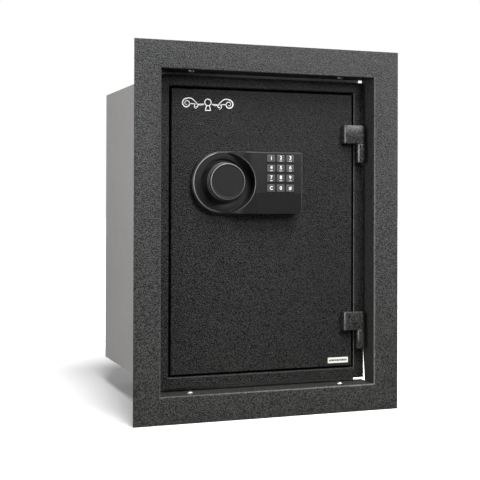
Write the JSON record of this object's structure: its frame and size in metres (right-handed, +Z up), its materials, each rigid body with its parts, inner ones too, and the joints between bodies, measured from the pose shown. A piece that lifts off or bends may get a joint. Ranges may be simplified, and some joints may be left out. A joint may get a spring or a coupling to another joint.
{
  "type": "wall safe",
  "caption": "Recessed steel wall safe with a wide trim flange, a right-hinged fire door, a turning knob and a numeric keypad lock.",
  "frame": {"origin": "centre of the trim's opening, on the wall surface that the trim's flange lies on", "axes": "+Z up; +Y into the wall, from the room to the safe's back; +X to the right as seen from the room, the hinge side"},
  "size_m": [0.4264, 0.3756, 0.5594],
  "materials": {
    "charcoal_paint": "charcoal textured powder coat, fine speckle",
    "door_paint": "near-black textured powder coat",
    "grey_paint": "smooth warm grey paint",
    "liner_plastic": "matt moulded liner",
    "fire_fill": "cast gypsum-like filling",
    "black_plastic": "satin moulded black plastic",
    "key_plastic": "grey moulded keys with pale digits",
    "seal_rubber": "soft black rubber",
    "bright_steel": "bright zinc-plated steel",
    "brass": "turned brass",
    "board_green": "green circuit board",
    "battery_shell": "printed metal can, plain"
  },
  "bodies": {
    "root": {"trim_frame": "charcoal_paint", "trim_bracket_top": "grey_paint", "trim_bracket_bottom": "grey_paint", "trim_screw_top_left": "bright_steel", "trim_screw_top_right": "bright_steel", "trim_screw_bottom_left": "bright_steel", "trim_screw_bottom_right": "bright_steel", "outer_wrap": "grey_paint", "rear_panel": "grey_paint", "door_frame": "door_paint", "body_fire_fill": "fire_fill", "inner_liner": "liner_plastic", "shelf": "grey_paint", "shelf_rail_left": "grey_paint", "shelf_rail_right": "grey_paint", "hinge_barrel_upper": "door_paint", "hinge_barrel_lower": "door_paint", "hinge_pin_upper": "bright_steel", "hinge_pin_lower": "bright_steel"},
    "door": {"door_skin": "door_paint", "door_pan": "door_paint", "door_fire_fill": "fire_fill", "door_seal": "seal_rubber", "hinge_block_upper": "door_paint", "hinge_block_lower": "door_paint", "fixed_bolt_upper": "bright_steel", "fixed_bolt_lower": "bright_steel", "spindle_bush": "brass", "bolt_guide": "bright_steel", "solenoid_case": "bright_steel", "lock_cable": "seal_rubber", "lock_housing": "black_plastic", "circuit_board": "board_green", "battery": "battery_shell", "battery_clip": "black_plastic"},
    "knob": {"knob": "black_plastic", "knob_spindle": "bright_steel", "drive_cam": "bright_steel"},
    "boltwork": {"bolt_carriage": "bright_steel", "live_bolt_upper": "bright_steel", "live_bolt_middle": "bright_steel", "live_bolt_lower": "bright_steel"},
    "plunger": {"lock_plunger": "bright_steel", "plunger_spring": "bright_steel"},
    "battery_cover": {"battery_cover": "black_plastic"},
    "key_1": {"key_1": "key_plastic"},
    "key_2": {"key_2": "key_plastic"},
    "key_3": {"key_3": "key_plastic"},
    "key_4": {"key_4": "key_plastic"},
    "key_5": {"key_5": "key_plastic"},
    "key_6": {"key_6": "key_plastic"},
    "key_7": {"key_7": "key_plastic"},
    "key_8": {"key_8": "key_plastic"},
    "key_9": {"key_9": "key_plastic"},
    "key_clear": {"key_clear": "key_plastic"},
    "key_0": {"key_0": "key_plastic"},
    "key_hash": {"key_hash": "key_plastic"}
  },
  "joints": [
    {"name": "door_swing", "type": "hinge", "parent": "root", "child": "door", "pos_m": [0.16, 0.0233, 0], "axis": [0, 0, 1], "range_deg": [0, 95]},
    {"name": "knob_turn", "type": "hinge", "parent": "door", "child": "knob", "pos_m": [-0.0693, 0.03, 0.0745], "axis": [0, 1, 0], "range_deg": [0, 80]},
    {"name": "bolt_slide", "type": "slide", "parent": "door", "child": "boltwork", "axis": [-1, 0, 0], "range_m": [0, 0.01542]},
    {"name": "plunger_slide", "type": "slide", "parent": "door", "child": "plunger", "axis": [0, 0, -1], "range_m": [0, 0.006], "deforming": ["plunger_spring"]},
    {"name": "battery_cover_slide", "type": "slide", "parent": "door", "child": "battery_cover", "axis": [0, 0, -1], "range_m": [0, 0.035]},
    {"name": "key_1_press", "type": "slide", "parent": "door", "child": "key_1", "axis": [0, 1, 0], "range_m": [0, 0.001], "stiffness_N_per_m": 200},
    {"name": "key_2_press", "type": "slide", "parent": "door", "child": "key_2", "axis": [0, 1, 0], "range_m": [0, 0.001], "stiffness_N_per_m": 200},
    {"name": "key_3_press", "type": "slide", "parent": "door", "child": "key_3", "axis": [0, 1, 0], "range_m": [0, 0.001], "stiffness_N_per_m": 200},
    {"name": "key_4_press", "type": "slide", "parent": "door", "child": "key_4", "axis": [0, 1, 0], "range_m": [0, 0.001], "stiffness_N_per_m": 200},
    {"name": "key_5_press", "type": "slide", "parent": "door", "child": "key_5", "axis": [0, 1, 0], "range_m": [0, 0.001], "stiffness_N_per_m": 200},
    {"name": "key_6_press", "type": "slide", "parent": "door", "child": "key_6", "axis": [0, 1, 0], "range_m": [0, 0.001], "stiffness_N_per_m": 200},
    {"name": "key_7_press", "type": "slide", "parent": "door", "child": "key_7", "axis": [0, 1, 0], "range_m": [0, 0.001], "stiffness_N_per_m": 200},
    {"name": "key_8_press", "type": "slide", "parent": "door", "child": "key_8", "axis": [0, 1, 0], "range_m": [0, 0.001], "stiffness_N_per_m": 200},
    {"name": "key_9_press", "type": "slide", "parent": "door", "child": "key_9", "axis": [0, 1, 0], "range_m": [0, 0.001], "stiffness_N_per_m": 200},
    {"name": "key_clear_press", "type": "slide", "parent": "door", "child": "key_clear", "axis": [0, 1, 0], "range_m": [0, 0.001], "stiffness_N_per_m": 200},
    {"name": "key_0_press", "type": "slide", "parent": "door", "child": "key_0", "axis": [0, 1, 0], "range_m": [0, 0.001], "stiffness_N_per_m": 200},
    {"name": "key_hash_press", "type": "slide", "parent": "door", "child": "key_hash", "axis": [0, 1, 0], "range_m": [0, 0.001], "stiffness_N_per_m": 200}
  ],
  "couplings": [
    {"joint": "knob_turn", "follows": "bolt_slide", "rad_per_m": 90.508}
  ]
}
